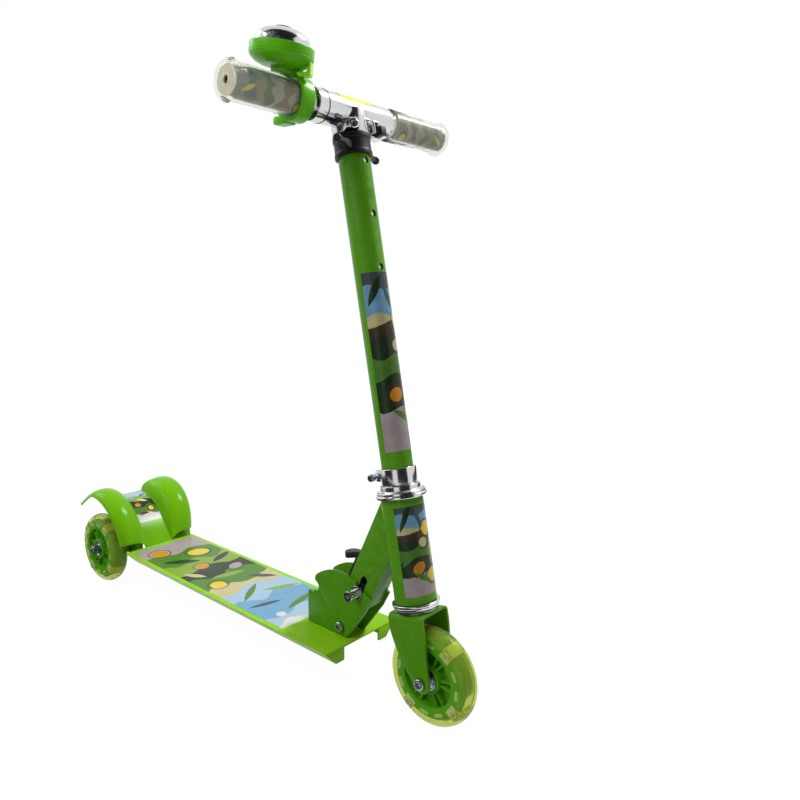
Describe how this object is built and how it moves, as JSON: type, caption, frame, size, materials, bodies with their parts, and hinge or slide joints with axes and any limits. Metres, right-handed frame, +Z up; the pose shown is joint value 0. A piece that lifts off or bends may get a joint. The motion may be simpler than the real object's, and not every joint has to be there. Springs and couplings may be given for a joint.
{
  "type": "three wheel kids scooter",
  "caption": "Child's folding kick scooter with one front and two rear wheels, a printed tread, a height-adjustable T-bar with plug-in handles, a bell and a moulded rear fender.",
  "frame": {"origin": "on the floor, under the middle of the scooter's length and width", "axes": "+X forward, the way it rides; +Y to the rider's left; +Z up"},
  "size_m": [0.6825, 0.286, 0.6523],
  "materials": {
    "frame_paint": "gloss green powder coat",
    "deck_paint": "gloss bright green powder coat",
    "chrome": "polished chrome plate",
    "zinc": "bright zinc plate",
    "black_plastic": "satin black moulding",
    "green_plastic": "gloss green moulding",
    "clear_tyre": "translucent yellow-green polyurethane",
    "clear_grip": "clear soft vinyl"
  },
  "bodies": {
    "deck": {"deck": "deck_paint", "fold_bracket": "frame_paint", "rear_bracket": "frame_paint", "rear_fender": "green_plastic", "fender_screw_front": "zinc", "fender_screw_rear": "zinc", "rear_axle": "zinc", "rear_axle_nut": "zinc", "pivot_bolt": "zinc", "pivot_nut": "zinc"},
    "front_wheel": {"front_wheel_tyre": "clear_tyre", "front_wheel_core": "green_plastic", "front_wheel_bearings": "zinc"},
    "rear_wheel_right": {"rear_wheel_right_tyre": "clear_tyre", "rear_wheel_right_core": "green_plastic", "rear_wheel_right_bearings": "zinc"},
    "rear_wheel_left": {"rear_wheel_left_tyre": "clear_tyre", "rear_wheel_left_core": "green_plastic", "rear_wheel_left_bearings": "zinc"},
    "neck": {"head_tube": "frame_paint", "neck_box": "frame_paint", "pivot_bush": "zinc", "lower_cup": "chrome", "upper_cup": "chrome", "lower_ball_ring": "zinc", "upper_ball_ring": "zinc"},
    "latch": {"latch_handle": "black_plastic", "latch_pin": "zinc", "latch_knob_right": "zinc", "latch_knob_left": "zinc", "latch_spring": "zinc"},
    "fork": {"fork": "frame_paint", "steerer_tube": "zinc", "crown_race": "zinc", "adjusting_nut": "chrome", "column_tube": "frame_paint", "clamp_collar": "chrome", "clamp_bolt": "zinc", "front_axle_bolt": "zinc", "front_axle_nut": "zinc", "front_spacer_right": "zinc", "front_spacer_left": "zinc"},
    "clip": {"storage_clip": "black_plastic"},
    "bar": {"t_bar": "chrome", "inner_tube": "chrome", "lug_bolt": "zinc"},
    "height_button": {"height_button": "zinc"},
    "handle_right": {"handle_tube_right": "chrome", "grip_right": "clear_grip", "bell_base": "green_plastic", "bell_dome": "chrome", "bell_cap": "green_plastic"},
    "handle_left": {"handle_tube_left": "chrome", "grip_left": "clear_grip"},
    "handle_button_right": {"handle_button_right": "black_plastic"},
    "handle_button_left": {"handle_button_left": "black_plastic"},
    "bell_lever": {"bell_lever": "green_plastic"}
  },
  "joints": [
    {"name": "fold", "type": "hinge", "parent": "deck", "child": "neck", "pos_m": [0.1751, 0, 0.0675], "axis": [0, -1, 0], "range_deg": [0, 78]},
    {"name": "latch_slide", "type": "slide", "parent": "neck", "child": "latch", "axis": [0.4384, 0, 0.8988], "range_m": [0, 0.016], "stiffness_N_per_m": 250, "springref_m": -0.02},
    {"name": "steer", "type": "hinge", "parent": "neck", "child": "fork", "pos_m": [0.28267, 0, 0.04825], "axis": [-0.1949, 0, 0.9808], "range_deg": [-90, 90]},
    {"name": "front_wheel_spin", "type": "hinge", "parent": "fork", "child": "front_wheel", "pos_m": [0.2915, 0, 0.05], "axis": [0, 1, 0], "continuous": true},
    {"name": "rear_wheel_right_spin", "type": "hinge", "parent": "deck", "child": "rear_wheel_right", "pos_m": [-0.285, -0.0519, 0.05], "axis": [0, 1, 0], "continuous": true},
    {"name": "rear_wheel_left_spin", "type": "hinge", "parent": "deck", "child": "rear_wheel_left", "pos_m": [-0.285, 0.0519, 0.05], "axis": [0, 1, 0], "continuous": true},
    {"name": "bar_height", "type": "slide", "parent": "fork", "child": "bar", "axis": [-0.1949, 0, 0.9808], "range_m": [0, 0.104]},
    {"name": "height_button_press", "type": "slide", "parent": "bar", "child": "height_button", "axis": [-0.9808, 0, -0.1949], "range_m": [0, 0.003], "stiffness_N_per_m": 400, "springref_m": -0.004},
    {"name": "handle_right_pull", "type": "slide", "parent": "bar", "child": "handle_right", "axis": [0, -1, 0], "range_m": [0, 0.03]},
    {"name": "handle_left_pull", "type": "slide", "parent": "bar", "child": "handle_left", "axis": [0, 1, 0], "range_m": [0, 0.03]},
    {"name": "handle_button_right_press", "type": "slide", "parent": "handle_right", "child": "handle_button_right", "axis": [-0.1949, 0, 0.9808], "range_m": [0, 0.003], "stiffness_N_per_m": 400, "springref_m": -0.004},
    {"name": "handle_button_left_press", "type": "slide", "parent": "handle_left", "child": "handle_button_left", "axis": [-0.1949, 0, 0.9808], "range_m": [0, 0.003], "stiffness_N_per_m": 400, "springref_m": -0.004},
    {"name": "bell_lever_push", "type": "hinge", "parent": "handle_right", "child": "bell_lever", "pos_m": [0.18776, -0.078, 0.62174], "axis": [0.1523, 0, 0.9883], "range_deg": [0, 12], "stiffness_Nm_per_rad": 0.04, "springref_deg": -17.19},
    {"name": "clip_swivel", "type": "hinge", "parent": "fork", "child": "clip", "pos_m": [0.28267, 0, 0.04825], "axis": [-0.1949, 0, 0.9808], "range_deg": [-38, 0]}
  ]
}
